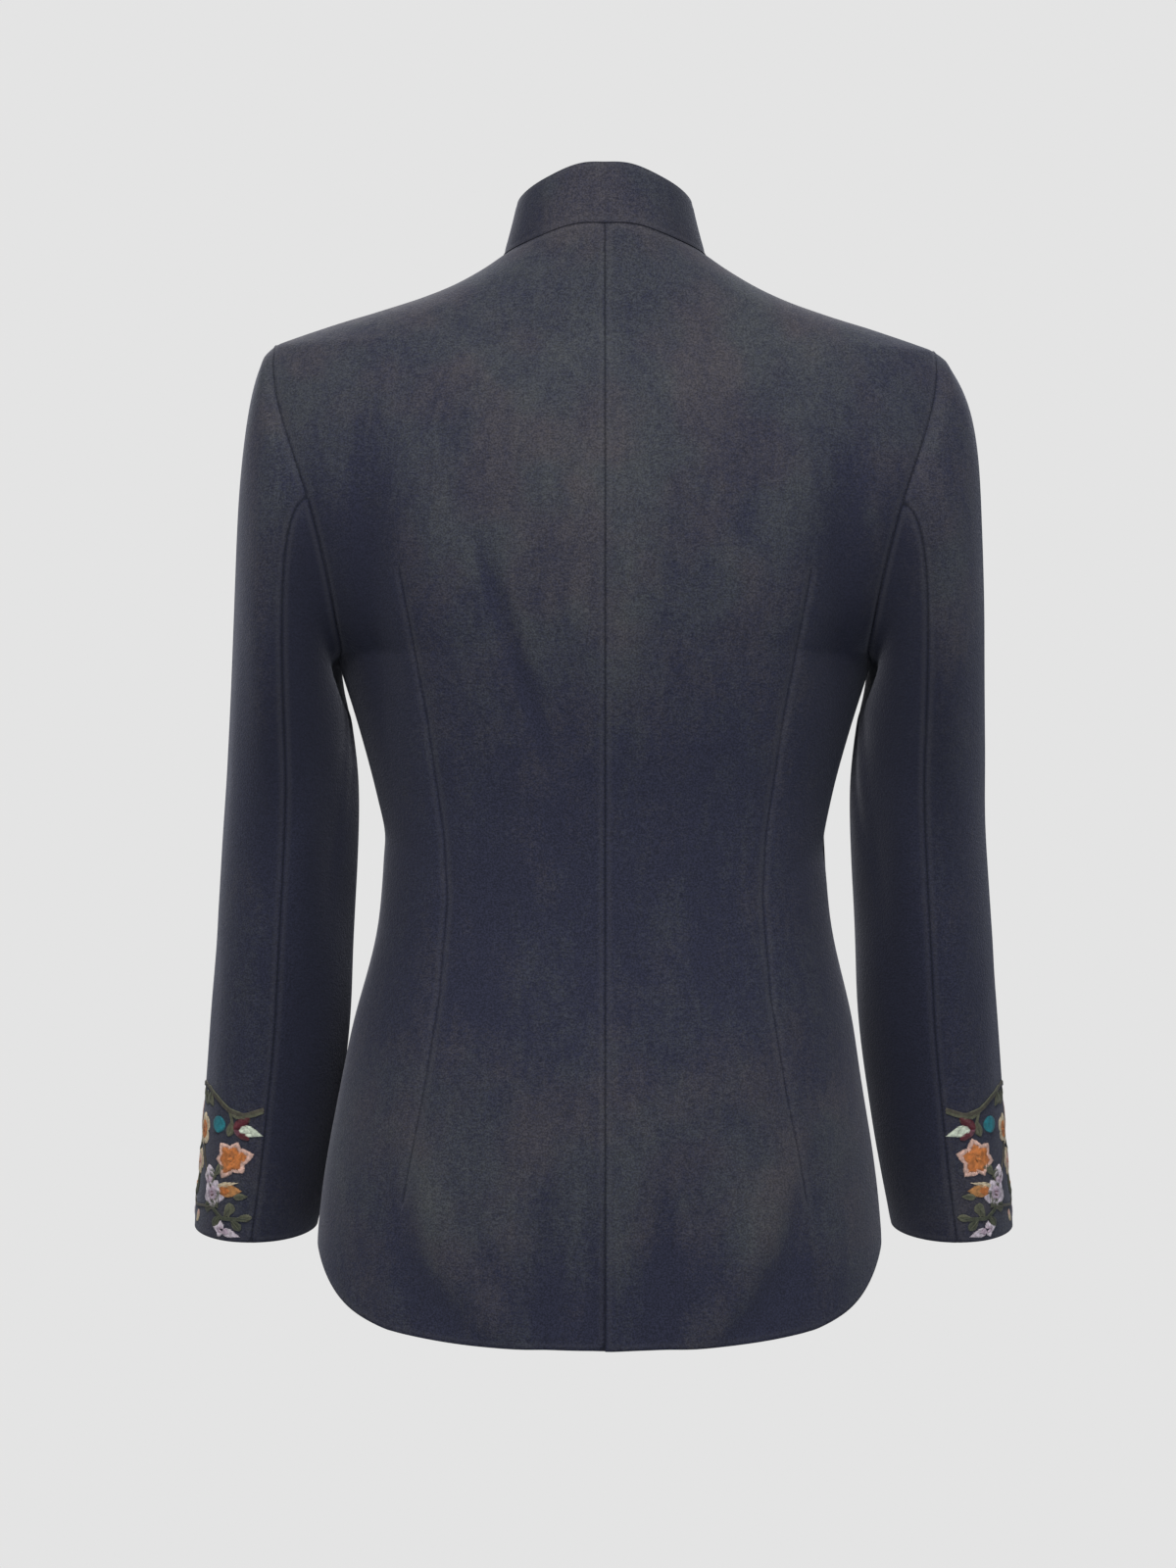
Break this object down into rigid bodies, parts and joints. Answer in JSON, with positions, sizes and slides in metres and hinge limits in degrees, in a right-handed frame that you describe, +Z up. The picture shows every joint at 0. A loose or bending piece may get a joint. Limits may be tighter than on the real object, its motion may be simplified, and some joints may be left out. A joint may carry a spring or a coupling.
{
  "type": "stand collar jacket",
  "caption": "Fitted jacket with a stand collar, back darts, two-piece sleeves and a shirt-tail hem, filled out as worn.",
  "frame": {"origin": "the middle of the neck, level with the side neck points, where the wearer's neck and shoulders carry the jacket", "axes": "+Z up, the jacket's front faces -Y, +X towards the wearer's left"},
  "size_m": [0.4995, 0.2371, 0.6948],
  "materials": {
    "back_cloth": "dark navy suede-like cloth with a short mottled nap",
    "front_cloth": "dark navy suede-like cloth with a short mottled nap",
    "collar_cloth": "dark navy suede-like cloth, stiffened",
    "sleeve_cloth": "dark navy suede-like cloth with a short mottled nap",
    "button": "plain dark moulded button, low sheen"
  },
  "bodies": {
    "root": {"back_left": "back_cloth", "back_right": "back_cloth", "front_left": "front_cloth", "front_right": "front_cloth", "collar": "collar_cloth", "sleeve_upper_left": "sleeve_cloth", "sleeve_upper_right": "sleeve_cloth", "sleeve_under_left": "sleeve_cloth", "sleeve_under_right": "sleeve_cloth", "button_1": "button", "button_2": "button", "button_3": "button", "button_4": "button", "button_5": "button"}
  },
  "joints": []
}
